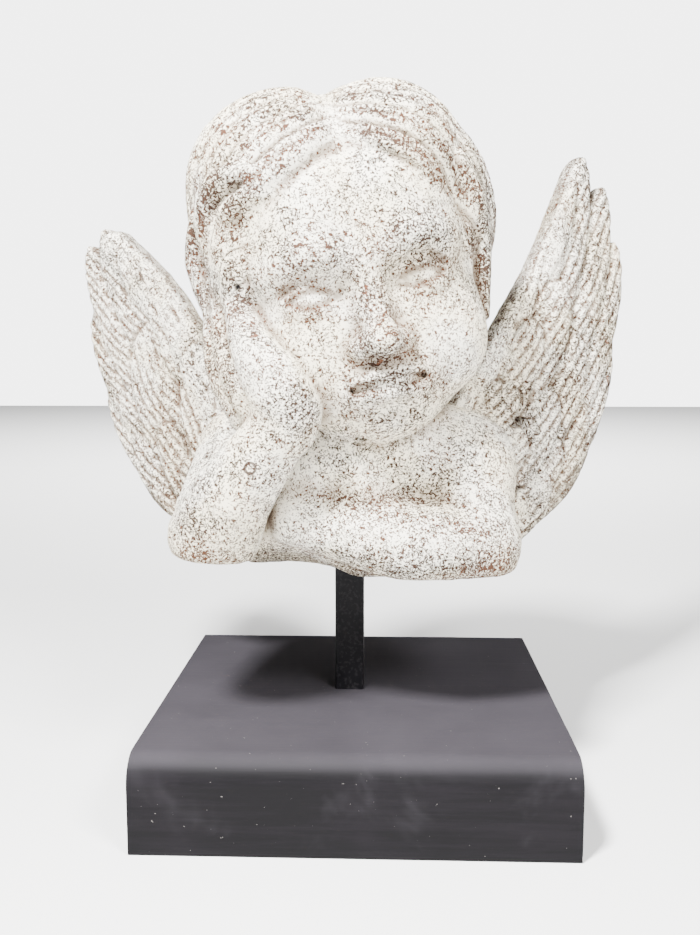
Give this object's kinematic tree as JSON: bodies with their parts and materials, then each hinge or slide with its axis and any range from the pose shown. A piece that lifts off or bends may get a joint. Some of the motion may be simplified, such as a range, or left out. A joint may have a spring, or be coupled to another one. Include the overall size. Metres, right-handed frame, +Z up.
{
  "type": "stone putto bust on stand",
  "caption": "Whitewashed stone putto with folded arms and feathered wings, head resting on one hand, on a square steel rod in a black wooden block.",
  "frame": {"origin": "middle of the wooden block's underside", "axes": "+Z up, out of the block's top, and +X to the right of someone who faces the putto, which looks along -Y"},
  "size_m": [0.2504, 0.16, 0.2794],
  "materials": {
    "whitewashed_stone": "chalky whitewash worn to brown stone on the high places",
    "black_steel": "satin black paint",
    "black_wood": "matt black paint, brushed along the width"
  },
  "bodies": {
    "root": {"putto_figure": "whitewashed_stone", "stand_rod": "black_steel", "wooden_base": "black_wood"}
  },
  "joints": []
}
